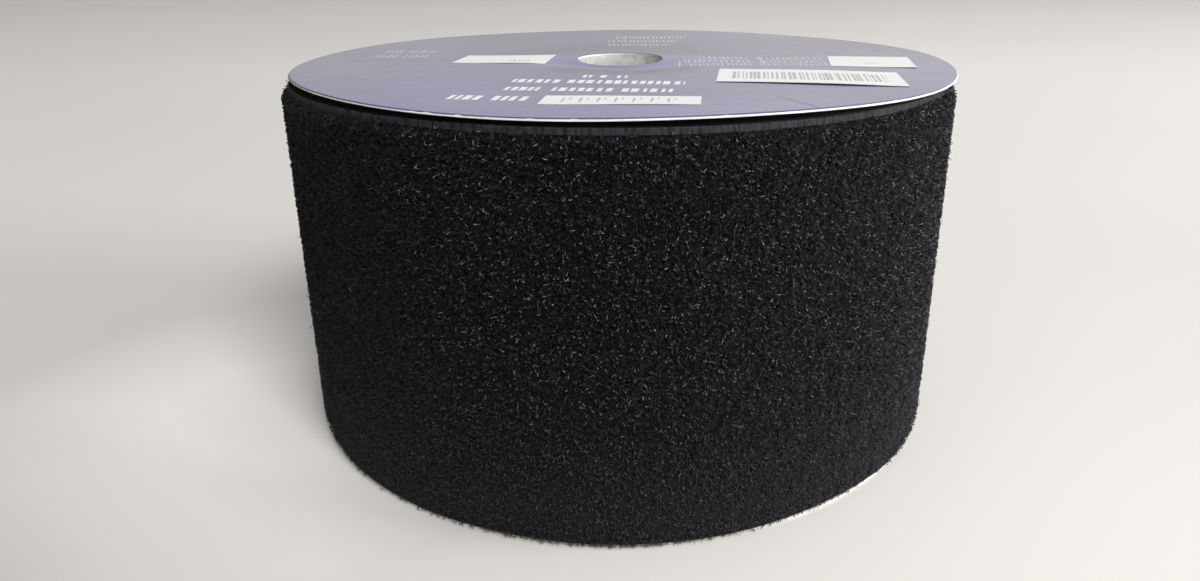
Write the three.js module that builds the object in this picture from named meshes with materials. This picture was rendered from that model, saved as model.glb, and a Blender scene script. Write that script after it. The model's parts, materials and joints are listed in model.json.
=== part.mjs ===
// A roll of loop tape, the soft half of a hook and loop fastening, as it is sold for sewing.
// The tape is wound on a paper core between two discs of board, and stands on the lower disc.
// Millimetres, Z up. The origin is the middle of the footprint, on the surface that the roll stands on.
// The roll is seen from -Y. The free end of the tape is at the back, towards +Y.
import * as THREE from "three";

// The tape
const TAPE_WIDTH = 100;
const TAPE_LENGTH = 25000;
const GROUND_THICKNESS = 0.57; // the woven ground, which the loops stand on
const PRESSED_PILE = 0.06; // what is left of the loops where a turn lies on them
const TURN_CLEARANCE = 0.44; // between the pressed loops and the turn that lies on them
const FREE_PILE = 1.8; // the loops of the outermost turn, which nothing presses
const SELVEDGE_WIDTH = 2.6; // the bare edge of the ground along both sides of the loops
const PILE_SHOULDER = 0.8; // the width in which the loops come up from the selvedge
const PILE_RISE_LENGTH = 2.4; // the length in which pressed loops come up past the end of the tape

// The outermost turns, which are wound one by one over the plain pack of inner turns
const WOUND_TURNS = 3;
const STEPS_PER_TURN = 80;
const END_ANGLE = THREE.MathUtils.degToRad(78); // where the end of the tape lies, from +X towards +Y
const FREE_END_LENGTH = 38; // the end of the tape that lifts off the roll
const FREE_END_STEPS = 6;
const BUTT_GAP = 0.3; // between two stretches of the tape that meet end to end
const END_GAP = 0.9; // between the end of the tape and the loops that come up past it

// The core and the strip that starts the tape on it
const CORE_BORE = 25;
const CORE_WALL = 3;
const CORE_CHAMFER = 0.4;
const START_STRIP_THICKNESS = 0.15;
const START_STRIP_WIDTH = 24;
const START_STRIP_HEIGHT = 76;
const START_STRIP_STEPS = 6;
const CORE_CLEARANCE = 0.3; // on each side of the start strip

// The discs
const BOARD_THICKNESS = 0.6;
const FACING_THICKNESS = 0.12; // the printed and laminated face of the upper disc
const EDGE_DROP = 0.25; // the die presses the cut edge of the board down by this much
const EDGE_ROLL = 0.5; // and over this width
const DISC_SETBACK = 1.7; // from the loops at the end of the tape in to the rim of the upper disc
const LOWER_DISC_SETBACK = 1; // from the ground at the end of the tape in to the rim of the lower disc
const DISC_STEPS = 80;
const HOLE_STEPS = 48;
const LAND_RISE = 0.6; // the upper disc stands higher on the end of the core than at its rim
const LAND_MARGIN = 0.6; // the level ring on the core is wider than the wall of the core by this much
const LAND_SLOPE = 5; // the width in which the disc comes down from that ring
const LAND_SLOPE_STEPS = 4;
const GLUE_THICKNESS = 0.3;
const GLUE_MARGIN = 0.5; // from the edges of the end of the core in to the ring of glue
const TOP_GAP = 1.4; // between the edges of the turns and the upper disc
const PACK_SHIFT = 0.8; // the pack was wound out of true by this much, towards -X

// The clear strip that holds the end of the tape down
const TAB_WIDTH = 25;
const TAB_ON_END = 22;
const TAB_PAST_END = 26;
const TAB_THICKNESS = 0.1;
const TAB_CLEARANCE = 0.3;
const TAB_STEPS = 5;

// The paper labels on the upper disc. The middle of each lies in a bearing from the hole, counted from
// +X towards +Y, at a share of the way from the ring on the core out to the rim, as far as the label has
// room. Its turn is counted the same way. Both angles are in degrees.
const LABEL_THICKNESS = 0.1;
const LABEL_CORNER = 0.8;
const LABEL_MARGIN = 0.5;
const WIDTH_LABEL = { width: 28, height: 17 };
const BATCH_LABEL = { width: 35.5, height: 11 };
const STOCK_LABEL = { width: 46.5, height: 23 };
const SHADE_LABEL = { width: 23, height: 21 };
const LABELS = [
  { name: "width_label", ...WIDTH_LABEL, bearing: 174.5, outwardShare: 0.01, turn: -9 },
  { name: "batch_label", ...BATCH_LABEL, bearing: -91.3, outwardShare: 0.95, turn: -7 },
  { name: "stock_label", ...STOCK_LABEL, bearing: -39, outwardShare: 0.745, turn: -10 },
  { name: "shade_label", ...SHADE_LABEL, bearing: -7.3, outwardShare: 0.88, turn: -10.5 },
];

// Radii, from the core outwards
const coreRadius = CORE_BORE / 2 + CORE_WALL;
const packBore = coreRadius + CORE_CLEARANCE + START_STRIP_THICKNESS + CORE_CLEARANCE;
const pitch = GROUND_THICKNESS + PRESSED_PILE + TURN_CLEARANCE;
const groundRadius = Math.sqrt(packBore ** 2 + (TAPE_LENGTH * pitch) / Math.PI);
const packRadius = groundRadius + FREE_PILE;
const discRadius = packRadius - DISC_SETBACK;
const lowerDiscRadius = groundRadius - LOWER_DISC_SETBACK;

// Levels, from the lower disc upwards
const lowerBoardTop = BOARD_THICKNESS;
const tapeBottom = lowerBoardTop + GLUE_THICKNESS;
const tapeTop = tapeBottom + TAPE_WIDTH;
const upperBoardBottom = tapeTop + TOP_GAP;
const coreTop = upperBoardBottom + LAND_RISE - GLUE_THICKNESS;
const facingBottom = upperBoardBottom + BOARD_THICKNESS;
const facingTop = facingBottom + FACING_THICKNESS;

const coreAxis = new THREE.Vector2(0, 0);
const packAxis = new THREE.Vector2(-PACK_SHIFT, 0);

function piece(name, geometry, color, roughness, settings = {}) {
  const material = new THREE.MeshStandardMaterial({ color, roughness, metalness: 0, ...settings });
  const mesh = new THREE.Mesh(geometry, material);
  mesh.name = name;
  return mesh;
}

// A round piece, from a closed outline of [radius, height] points that runs inwards along the top.
function turned(outline, steps) {
  const profile = [...outline, outline[0]].map(([radius, height]) => new THREE.Vector2(radius, height));
  return new THREE.LatheGeometry(profile, steps).rotateX(Math.PI / 2);
}

// A strip that runs round an axis. Each ring stands square to the strip: a list of [distance out, height]
// points, at one angle and one radius. The strip runs clockwise, seen from above.
function strip(axis, rings) {
  const sides = rings[0].section.length;
  const positions = rings.flatMap(({ angle, radius, section }) =>
    section.flatMap(([out, height]) => [
      axis.x + (radius + out) * Math.cos(angle),
      axis.y + (radius + out) * Math.sin(angle),
      height,
    ]),
  );
  const faces = [];
  for (let ring = 0; ring < rings.length - 1; ring++) {
    for (let side = 0; side < sides; side++) {
      const here = ring * sides + side;
      const beside = ring * sides + ((side + 1) % sides);
      faces.push(here, beside, beside + sides, here, beside + sides, here + sides);
    }
  }
  const capFaces = (ring) => {
    const contour = rings[ring].section.map(([out, height]) => new THREE.Vector2(out, height));
    return THREE.ShapeUtils.triangulateShape(contour, []).map((face) => face.map((i) => i + ring * sides));
  };
  for (const [a, b, c] of capFaces(0)) faces.push(a, c, b);
  for (const [a, b, c] of capFaces(rings.length - 1)) faces.push(a, b, c);
  const geometry = new THREE.BufferGeometry();
  geometry.setAttribute("position", new THREE.Float32BufferAttribute(positions, 3));
  geometry.setIndex(faces);
  return geometry;
}

function plainSection(thickness, bottom, top) {
  return [
    [0, bottom],
    [thickness, bottom],
    [thickness, top],
    [0, top],
  ];
}

// Where the inner side of the ground lies after so many of the wound turns
function windRadius(turn) {
  return groundRadius - GROUND_THICKNESS - pitch * (WOUND_TURNS - turn);
}

function windAngle(turn) {
  return END_ANGLE + 2 * Math.PI * (WOUND_TURNS - turn);
}

function turnsAlong(length, turn) {
  return length / (2 * Math.PI * windRadius(turn));
}

// The tape across its width: the ground, with the loops between the two selvedges
function tapeSection(pile) {
  const raised = GROUND_THICKNESS + pile;
  return [
    [0, tapeBottom],
    [GROUND_THICKNESS, tapeBottom],
    [GROUND_THICKNESS, tapeBottom + SELVEDGE_WIDTH],
    [raised, tapeBottom + SELVEDGE_WIDTH + PILE_SHOULDER],
    [raised, tapeTop - SELVEDGE_WIDTH - PILE_SHOULDER],
    [GROUND_THICKNESS, tapeTop - SELVEDGE_WIDTH],
    [GROUND_THICKNESS, tapeTop],
    [0, tapeTop],
  ];
}

// The loops are pressed flat up to the end of the tape, one turn further in, and come up past it.
const riseStart = WOUND_TURNS - 1 + turnsAlong(END_GAP, WOUND_TURNS - 1);
const riseEnd = riseStart + turnsAlong(PILE_RISE_LENGTH, WOUND_TURNS - 1);

function pileAt(turn) {
  return THREE.MathUtils.mapLinear(
    THREE.MathUtils.clamp(turn, riseStart, riseEnd),
    riseStart,
    riseEnd,
    PRESSED_PILE,
    FREE_PILE,
  );
}

function tapeRings(turns) {
  return turns.map((turn) => ({
    angle: windAngle(turn),
    radius: windRadius(turn),
    section: tapeSection(pileAt(turn)),
  }));
}

function evenly(first, last, steps) {
  return Array.from({ length: steps + 1 }, (_, step) => first + ((last - first) * step) / steps);
}

const freeEndTurn = WOUND_TURNS - turnsAlong(FREE_END_LENGTH, WOUND_TURNS);

// The inner turns, as one plain pack. Its outside climbs by one turn of the tape, and the wound turns
// start at the step that this leaves.
function packGeometry() {
  const outline = new THREE.Shape(
    evenly(0, 1, STEPS_PER_TURN).map((turn) => {
      const radius = windRadius(turn) - TURN_CLEARANCE;
      return new THREE.Vector2(radius * Math.cos(windAngle(turn)), radius * Math.sin(windAngle(turn)));
    }),
  );
  const bore = new THREE.Path().absarc(PACK_SHIFT, 0, packBore, 0, 2 * Math.PI);
  outline.holes.push(bore);
  const settings = { depth: TAPE_WIDTH, bevelEnabled: false, curveSegments: HOLE_STEPS / 2 };
  return new THREE.ExtrudeGeometry(outline, settings).translate(packAxis.x, packAxis.y, tapeBottom);
}

function woundTurnsRings() {
  const first = turnsAlong(BUTT_GAP, 0);
  const last = freeEndTurn - turnsAlong(BUTT_GAP / 2, WOUND_TURNS);
  const even = evenly(0, WOUND_TURNS, WOUND_TURNS * STEPS_PER_TURN);
  const turns = [...even, riseStart, riseEnd].filter((turn) => turn > first && turn < last);
  return tapeRings([first, ...turns.sort((a, b) => a - b), last]);
}

function freeEndGeometry() {
  const first = freeEndTurn + turnsAlong(BUTT_GAP / 2, WOUND_TURNS);
  return strip(packAxis, tapeRings(evenly(first, WOUND_TURNS, FREE_END_STEPS)));
}

// The clear strip lies on the loops of the free end, steps down past it and lies on the turn below.
function tabGeometry() {
  const first = WOUND_TURNS - turnsAlong(TAB_ON_END, WOUND_TURNS);
  const stepTop = WOUND_TURNS + turnsAlong(BUTT_GAP, WOUND_TURNS);
  const stepFoot = WOUND_TURNS + turnsAlong(END_GAP + PILE_RISE_LENGTH, WOUND_TURNS);
  const last = WOUND_TURNS + turnsAlong(TAB_PAST_END, WOUND_TURNS);
  const middle = (tapeBottom + tapeTop) / 2;
  const section = plainSection(TAB_THICKNESS, middle - TAB_WIDTH / 2, middle + TAB_WIDTH / 2);
  const overLoops = GROUND_THICKNESS + FREE_PILE + TAB_CLEARANCE;
  const ringAt = (turn, drop) => ({
    angle: windAngle(turn),
    radius: windRadius(turn) + overLoops - drop,
    section,
  });
  return strip(packAxis, [
    ...evenly(first, stepTop, TAB_STEPS).map((turn) => ringAt(turn, 0)),
    ...evenly(stepFoot, last, TAB_STEPS).map((turn) => ringAt(turn, pitch)),
  ]);
}

function startStripGeometry() {
  const radius = coreRadius + CORE_CLEARANCE;
  const sweep = START_STRIP_WIDTH / radius;
  const middle = (tapeBottom + tapeTop) / 2;
  const bottom = middle - START_STRIP_HEIGHT / 2;
  const section = plainSection(START_STRIP_THICKNESS, bottom, bottom + START_STRIP_HEIGHT);
  const angles = evenly(END_ANGLE, END_ANGLE - sweep, START_STRIP_STEPS);
  return strip(
    coreAxis,
    angles.map((angle) => ({ angle, radius, section })),
  );
}

function coreGeometry() {
  const bore = CORE_BORE / 2;
  return turned(
    [
      [bore + CORE_CHAMFER, tapeBottom],
      [coreRadius - CORE_CHAMFER, tapeBottom],
      [coreRadius, tapeBottom + CORE_CHAMFER],
      [coreRadius, coreTop - CORE_CHAMFER],
      [coreRadius - CORE_CHAMFER, coreTop],
      [bore + CORE_CHAMFER, coreTop],
      [bore, coreTop - CORE_CHAMFER],
      [bore, tapeBottom + CORE_CHAMFER],
    ],
    HOLE_STEPS,
  );
}

function glueGeometry(bottom) {
  const inside = CORE_BORE / 2 + CORE_CHAMFER + GLUE_MARGIN;
  const outside = coreRadius - CORE_CHAMFER - GLUE_MARGIN;
  return turned(
    [
      [inside, bottom],
      [outside, bottom],
      [outside, bottom + GLUE_THICKNESS],
      [inside, bottom + GLUE_THICKNESS],
    ],
    HOLE_STEPS,
  );
}

// How much higher the upper disc stands at this radius than at its rim
const landRadius = coreRadius + LAND_MARGIN;

function landRise(radius) {
  return LAND_RISE * (1 - THREE.MathUtils.smoothstep(radius, landRadius, landRadius + LAND_SLOPE));
}

function edgeDrop(radius) {
  return radius >= discRadius ? EDGE_DROP : 0;
}

const upperStations = [
  CORE_BORE / 2,
  ...evenly(landRadius, landRadius + LAND_SLOPE, LAND_SLOPE_STEPS),
  discRadius - EDGE_ROLL,
  discRadius,
];

function upperBoardGeometry() {
  const under = upperStations.map((radius) => [radius, upperBoardBottom + landRise(radius)]);
  const over = upperStations.map((radius) => [
    radius,
    facingBottom + landRise(radius) - edgeDrop(radius),
  ]);
  return turned([...under, ...over.reverse()], DISC_STEPS);
}

function facingGeometry() {
  const level = (radius, height) => [radius, height + landRise(radius) - edgeDrop(radius)];
  const under = upperStations.map((radius) => level(radius, facingBottom));
  const over = upperStations.map((radius) => level(radius, facingTop));
  return turned([...under, ...over.reverse()], DISC_STEPS);
}

function lowerBoardGeometry() {
  return turned(
    [
      [CORE_BORE / 2, 0],
      [lowerDiscRadius - EDGE_ROLL, 0],
      [lowerDiscRadius, EDGE_DROP],
      [lowerDiscRadius, lowerBoardTop],
      [CORE_BORE / 2, lowerBoardTop],
    ],
    DISC_STEPS,
  );
}

function labelMesh({ name, width, height, bearing, outwardShare, turn }) {
  const corner = LABEL_CORNER;
  const outline = new THREE.Shape();
  outline.absarc(width / 2 - corner, height / 2 - corner, corner, 0, Math.PI / 2);
  outline.absarc(corner - width / 2, height / 2 - corner, corner, Math.PI / 2, Math.PI);
  outline.absarc(corner - width / 2, corner - height / 2, corner, Math.PI, 1.5 * Math.PI);
  outline.absarc(width / 2 - corner, corner - height / 2, corner, 1.5 * Math.PI, 2 * Math.PI);
  outline.closePath();
  const settings = { depth: LABEL_THICKNESS, bevelEnabled: false, curveSegments: 2 };
  const mesh = piece(name, new THREE.ExtrudeGeometry(outline, settings), 0xf2f1ec, 0.6);
  const nearest = landRadius + LAND_SLOPE + LABEL_MARGIN + width / 2;
  const furthest = discRadius - EDGE_ROLL - LABEL_MARGIN - Math.hypot(width, height) / 2;
  const distance = THREE.MathUtils.lerp(nearest, furthest, outwardShare);
  const angle = THREE.MathUtils.degToRad(bearing);
  mesh.position.set(distance * Math.cos(angle), distance * Math.sin(angle), facingTop);
  mesh.rotation.z = THREE.MathUtils.degToRad(turn);
  return mesh;
}

// The least distance, in plan, from the loops of one turn to the ground of a turn that lies on it
function leastGap(rings) {
  const inPlan = ({ angle, radius }, out) => new THREE.Vector2(radius + out, 0).rotateAround(coreAxis, angle);
  const ground = rings.map((ring) => inPlan(ring, 0));
  const loops = rings.map((ring) => inPlan(ring, Math.max(...ring.section.map(([out]) => out))));
  let least = Infinity;
  rings.forEach((ring, i) => {
    for (let j = i + 1; j < rings.length; j++) {
      if (ring.angle - rings[j].angle > Math.PI) least = Math.min(least, loops[i].distanceTo(ground[j]));
    }
  });
  return least;
}

const turns = woundTurnsRings();
console.log(`least gap between the wound turns: ${leastGap(turns).toFixed(3)} mm`);

const cardboard = 0xe4e2da;
const black = 0x0d0d10;

const roll = new THREE.Group();
roll.add(
  piece("lower_board", lowerBoardGeometry(), cardboard, 0.8),
  piece("lower_glue_ring", glueGeometry(lowerBoardTop), 0xd9cfa8, 0.4),
  piece("core_tube", coreGeometry(), 0xd6d2c6, 0.9),
  piece("start_strip", startStripGeometry(), 0xd8c48e, 0.5),
  piece("tape_inner_turns", packGeometry(), black, 0.95),
  piece("tape_outer_turns", strip(packAxis, turns), black, 0.95),
  piece("upper_glue_ring", glueGeometry(coreTop), 0xd9cfa8, 0.4),
  piece("upper_board", upperBoardGeometry(), cardboard, 0.8),
  piece("upper_facing", facingGeometry(), 0x3d3f86, 0.15),
  ...LABELS.map(labelMesh),
);

// What lifts off the roll turns about an upright line, on the outside of the loops where the free end
// leaves the roll. Its group stands on that line.
const liftLine = new THREE.Vector2(windRadius(freeEndTurn) + GROUND_THICKNESS + FREE_PILE, 0)
  .rotateAround(coreAxis, windAngle(freeEndTurn))
  .add(packAxis);
const looseEnd = new THREE.Group();
looseEnd.add(
  piece("tape_free_end", freeEndGeometry(), black, 0.95),
  piece("end_tab", tabGeometry(), 0xeeebdd, 0.2, { transparent: true, opacity: 0.45 }),
);
looseEnd.children.forEach((child) => child.position.set(-liftLine.x, -liftLine.y, 0));
looseEnd.position.set(liftLine.x, liftLine.y, 0);
roll.add(looseEnd);

// The middle of the footprint is at the origin.
const footprint = new THREE.Box3().setFromObject(roll).getCenter(new THREE.Vector3());
roll.position.set(-footprint.x, -footprint.y, 0);
const onAxis = roll.position.toArray().map((value) => value.toFixed(3));
const onLift = looseEnd.position.clone().add(roll.position).toArray().map((value) => value.toFixed(3));
console.log(`the core stands on ${onAxis.join(", ")} and the free end lifts about ${onLift.join(", ")}`);

export default roll;
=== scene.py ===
"""A roll of black loop tape between two board discs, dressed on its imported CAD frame.

Metres, Z up. The tape is described along its own length: "back" counts turns back from its end, an arc is
in metres along it from its end, and "out" is the distance from the inner side of the ground.
"""

import json
from math import atan2, cos, pi, radians, sin

import bpy
import numpy as np
from mathutils import Matrix, Vector


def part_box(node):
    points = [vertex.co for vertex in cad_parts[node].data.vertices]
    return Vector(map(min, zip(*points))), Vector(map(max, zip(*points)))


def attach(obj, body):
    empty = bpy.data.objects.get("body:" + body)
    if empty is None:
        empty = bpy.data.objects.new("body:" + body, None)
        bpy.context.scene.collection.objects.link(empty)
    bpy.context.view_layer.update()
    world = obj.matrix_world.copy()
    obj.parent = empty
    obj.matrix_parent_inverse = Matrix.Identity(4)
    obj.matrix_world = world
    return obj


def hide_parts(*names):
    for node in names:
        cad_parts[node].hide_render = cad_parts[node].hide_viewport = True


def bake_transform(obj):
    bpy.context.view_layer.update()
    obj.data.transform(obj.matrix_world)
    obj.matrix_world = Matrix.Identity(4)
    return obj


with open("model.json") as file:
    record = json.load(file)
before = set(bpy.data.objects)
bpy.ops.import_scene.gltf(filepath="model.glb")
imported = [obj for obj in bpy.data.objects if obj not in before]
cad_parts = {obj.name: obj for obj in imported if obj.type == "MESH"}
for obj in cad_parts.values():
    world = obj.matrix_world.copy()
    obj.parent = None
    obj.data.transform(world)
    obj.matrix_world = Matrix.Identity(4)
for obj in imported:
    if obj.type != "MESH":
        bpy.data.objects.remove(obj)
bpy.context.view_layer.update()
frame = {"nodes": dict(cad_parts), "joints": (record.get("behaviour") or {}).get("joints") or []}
scene = bpy.context.scene

MM = 0.001
TURN = 2 * pi
rng = np.random.default_rng(20)

# The camera, as fitted to the outline of the roll in the photograph
PHOTO_WIDTH = 1200
FOCAL_PIXELS = 908.8
CAMERA_PLACE = Vector((-5.46, -275.84, 136.48)) * MM
CAMERA_PITCH = radians(21.164)
CAMERA_ROLL = radians(-0.435)
SENSOR = 36.0

# The tape, as in the part's source
GROUND = 0.57 * MM
FREE_PILE = 1.8 * MM
PITCH = 1.07 * MM
SELVEDGE = 2.6 * MM
END_ANGLE = radians(78)
PACK_SHIFT = 0.8 * MM
END_GAP = 0.9 * MM
PILE_RISE_LENGTH = 2.4 * MM
# The tape was wound with a slight cone: its turns lie further over to the right at the bottom.
LEAN_SHIFT = 0.3 * MM
LEAN = 0.008

# The core: its bore, and how far the seam of its paper climbs in one turn
BORE = 12.5 * MM
SEAM_RISE = 40 * MM

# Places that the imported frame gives
hinge = Vector(frame["joints"][0]["pos_m"])


def middle(node):
    low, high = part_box(node)
    return (low + high) / 2


core_axis = middle("core_tube").to_2d()
pack_axis = core_axis - Vector((PACK_SHIFT, 0))
TAPE_BOTTOM, TAPE_TOP = (corner.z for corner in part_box("tape_outer_turns"))
hinge_arm = hinge.to_2d() - pack_axis
hinge_back = (atan2(hinge_arm.y, hinge_arm.x) - END_ANGLE) / TURN
END_RADIUS = hinge_arm.length - GROUND - FREE_PILE + PITCH * hinge_back
PACK_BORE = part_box("start_strip")[1].x - core_axis.x + 0.3 * MM


class Nodes:
    """Adds nodes to a shader tree. A value is a number, a colour or the socket of another node."""

    def __init__(self, tree):
        self.tree = tree

    def put(self, value, socket):
        if isinstance(value, bpy.types.NodeSocket):
            self.tree.links.new(value, socket)
        elif value is not None:
            socket.default_value = value

    def add(self, kind, *values, **named):
        """A new node. Values go in by their order. Names in small letters are settings, others inputs."""
        new = self.tree.nodes.new("ShaderNode" + kind)
        for key, value in named.items():
            if key.islower():
                setattr(new, key, value)
            else:
                self.put(value, new.inputs[key])
        for socket, value in zip(new.inputs, values):
            self.put(value, socket)
        return new

    def maths(self, operation, *values):
        return self.add("Math", *values, operation=operation).outputs[0]

    def times(self, first, *others):
        for other in others:
            first = self.maths("MULTIPLY", first, other)
        return first

    def vector(self, operation, *values):
        """A sum of vectors. A length, a distance or a dot product is a number, at the second output."""
        made = self.add("VectorMath", *values, operation=operation)
        return made.outputs[1 if operation in ("LENGTH", "DISTANCE", "DOT_PRODUCT") else 0]

    def parts(self, place):
        return self.add("SeparateXYZ", place).outputs

    def span(self, value, low, high, first, last):
        """The value, taken from low..high to first..last and held there."""
        return self.add("MapRange", value, low, high, first, last).outputs[0]

    def ramp(self, factor, *stops):
        """A colour ramp through (place, colour) stops."""
        made = self.add("ValToRGB", factor)
        elements = made.color_ramp.elements
        while len(elements) < len(stops):
            elements.new(0.5)
        for element, (place, colour) in zip(elements, stops):
            element.position = place
            element.color = (*colour, 1)
        return made.outputs[0]


class Look(Nodes):
    """A new material. Its place is a point on the object, or on the map that is named."""

    def __init__(self, name, uv_map=None):
        self.material = bpy.data.materials.new(name)
        self.material.use_nodes = True
        super().__init__(self.material.node_tree)
        self.shader = self.tree.nodes["Principled BSDF"]
        if uv_map:
            self.place = self.add("UVMap", uv_map=uv_map).outputs[0]
        else:
            self.place = self.add("TexCoord").outputs["Object"]

    def noise(self, scale, detail=3.0, rough=0.55, place=None):
        made = self.add("TexNoise", place or self.place, Scale=scale, Detail=detail, Roughness=rough)
        return made.outputs[0]

    def drawn_noise(self, scales, detail, rough=0.55):
        """Noise that is drawn out, by a scale along each axis."""
        drawn = self.add("Mapping", Vector=self.place, Scale=scales).outputs[0]
        return self.noise(1.0, detail, rough, drawn)

    def spread(self, value, low, high):
        """The value, taken from the middle of a noise's range to low..high."""
        return self.span(value, 0.3, 0.7, low, high)

    def ridges(self, place, scale, width):
        """Thin curly lines, 1 on a line and 0 away from it, where a noise passes through its middle."""
        wild = self.add("TexNoise", Vector=place, Scale=scale, Detail=1.0, Roughness=0.5, Distortion=0.9)
        off = self.maths("ABSOLUTE", self.maths("SUBTRACT", wild.outputs[0], 0.5))
        return self.span(off, 0.0, width, 1.0, 0.0)

    def away(self, place):
        return self.vector("DISTANCE", self.place, place)

    def bump(self, height, strength, distance):
        made = self.add("Bump", Height=height, Strength=strength, Distance=distance)
        self.put(made.outputs[0], self.shader.inputs["Normal"])

    def complete(self, colour, rough, **others):
        """The material with its inputs filled. The names of others have _ in place of spaces."""
        for key, value in {"Base_Color": colour, "Roughness": rough, **others}.items():
            self.put(value, self.shader.inputs[key.replace("_", " ")])
        return self.material


def loops_material():
    """Black nylon loops. Their shade runs along each loop and from loop to loop, by the map of the bake.

    The map's second number is the height of a loop on the tape, and its first is over 0.6 on the left side
    of the roll, where painted shade makes the loops calmer and darker. Low on the tape, painted light from
    the floor makes them calmer and lighter. The brightest stops of the ramp are painted glints.
    """
    look = Look("loop_fibre", "OFBake")
    across, up, _ = look.parts(look.place)
    low = look.span(up, 0.12, 0.55, 1.0, 0.0)
    # Painted shade: on the left side of the roll the loops lose their bright tones and stay dark.
    painted_side_shade = look.span(across, 0.35, 0.6, 1.0, 0.45)
    keep = look.times(look.maths("MULTIPLY_ADD", low, -0.8, 1.0), painted_side_shade)
    # Painted light from the floor: low on the tape the loops are lighter and calmer.
    rest = look.maths("MULTIPLY_ADD", low, 0.062, 0.5)
    shade = look.maths("SUBTRACT", look.noise(58.0, 2.0), 0.5)
    # The brightest stops of the ramp are painted glints on the black loops.
    colour = look.ramp(
        look.maths("MULTIPLY_ADD", shade, keep, rest),
        (0.36, (0.0006, 0.0006, 0.0008)),
        (0.5, (0.005, 0.005, 0.0064)),
        (0.57, (0.033, 0.033, 0.038)),
        (0.67, (0.22, 0.22, 0.24)),
    )
    rough = look.spread(look.noise(21.0, 1.0), 0.38, 0.6)
    return look.complete(colour, rough, Specular_IOR_Level=0.14, Sheen_Weight=0.03, Sheen_Roughness=0.4)


def bed_material():
    """The felted bed of the loops: curly fibres with painted highlights, over hollows of painted shade."""
    look = Look("loop_bed", "tape_mm")
    moved = look.vector("ADD", look.place, (37.0, 91.0, 0.0))
    fibres = look.maths("MAXIMUM", look.ridges(look.place, 0.75, 0.05), look.ridges(moved, 1.15, 0.07))
    patches = look.spread(look.noise(0.9, 3.0, 0.7), 0.05, 1.0)
    hollow = look.spread(look.noise(1.5, 2.0, 0.6, moved), 0.0, 0.34)
    # Painted highlights on the fibres, and painted shade in the hollows.
    tone = look.maths("MAXIMUM", look.times(fibres, patches), hollow)
    height = look.parts(look.place)[1]
    # Painted light from the floor: low on the tape the bed is calmer and lighter.
    calm = look.span(height, 8.0, 56.0, 0.35, 1.0)
    painted_bounce_light = look.span(height, 8.0, 56.0, 0.32, 0.0)
    tone = look.maths("MULTIPLY_ADD", tone, calm, painted_bounce_light)
    look.bump(tone, 0.9, 0.25 * MM)
    colour = look.ramp(
        tone,
        (0.0, (0.0004, 0.0004, 0.0005)),
        (0.3, (0.0035, 0.0035, 0.0044)),
        (0.6, (0.026, 0.026, 0.031)),
        (1.0, (0.14, 0.14, 0.155)),
    )
    rough = look.spread(look.noise(0.6), 0.7, 0.9)
    return look.complete(colour, rough, Specular_IOR_Level=0.05, Sheen_Weight=0.05, Sheen_Roughness=0.4)


def weave_material(name, dark, pale):
    """The woven ground: fine ribs across the tape, and the yarns that run along it."""
    look = Look(name, "tape_mm")
    bands = {"Vector": look.place, "Detail": 1.0}
    along = look.add("TexWave", bands_direction="X", Scale=0.72, Distortion=0.6, **bands).outputs[1]
    across = look.add("TexWave", bands_direction="Y", Scale=0.9, Distortion=1.2, **bands).outputs[1]
    streaks = look.spread(look.drawn_noise((0.8, 0.15, 1), 3.0), -0.3, 2.1)
    woven = look.times(look.maths("MAXIMUM", along, across), streaks)
    # Painted shade: the woven ground is darker towards its lower edge.
    painted_lower_shade = look.span(look.parts(look.place)[1], 6.0, 16.0, 0.1, 1.0)
    tone = look.times(woven, look.noise(0.5, 5.0), painted_lower_shade)
    look.bump(woven, 0.7, 0.08 * MM)
    rough = look.spread(look.noise(1.1), 0.6, 0.8)
    return look.complete(look.ramp(tone, (0.1, dark), (0.6, pale)), rough, Specular_IOR_Level=0.25)


# Painted shade darkens the lower board round this place at the front, in mottled spots, and the left of
# both boards.
PAINTED_SHADE_PLACE = (-4 * MM, -94 * MM, 0.0)


def board_material():
    """Pale pulp board. Its plies show as level lines on the cut edge."""
    look = Look("pulp_board")
    cut = look.drawn_noise((60, 60, 5200), 4.0, 0.6)
    blotch = look.noise(160.0, 4.0)
    # Painted shade: the boards are darker towards the left, away from the light.
    painted_left_shade = look.span(look.parts(look.place)[0], -88 * MM, -45 * MM, 0.18, 0.5)
    spots = look.spread(look.noise(420.0), 0.1, 0.5)
    # Painted shade under the front edge of the tape, broken into spots.
    painted_front_shade = look.maths("MAXIMUM", look.span(look.away(PAINTED_SHADE_PLACE), 18 * MM, 50 * MM, 0.0, 1.0), spots)
    look.bump(cut, 0.5, 0.1 * MM)
    colour = look.ramp(
        look.times(look.maths("ADD", cut, blotch), painted_left_shade, painted_front_shade),
        (0.0, (0.07, 0.06, 0.045)),
        (0.18, (0.30, 0.27, 0.22)),
        (0.34, (0.60, 0.585, 0.55)),
        (0.62, (0.82, 0.81, 0.78)),
    )
    return look.complete(colour, look.spread(blotch, 0.75, 0.92))


# A short crease in the film at the front right: its middle, and the way across it.
CREASE_PLACE = (38.4 * MM, -78.5 * MM, 103 * MM)
CREASE_SQUARE = (0.922, 0.387, 0.0)


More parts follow.
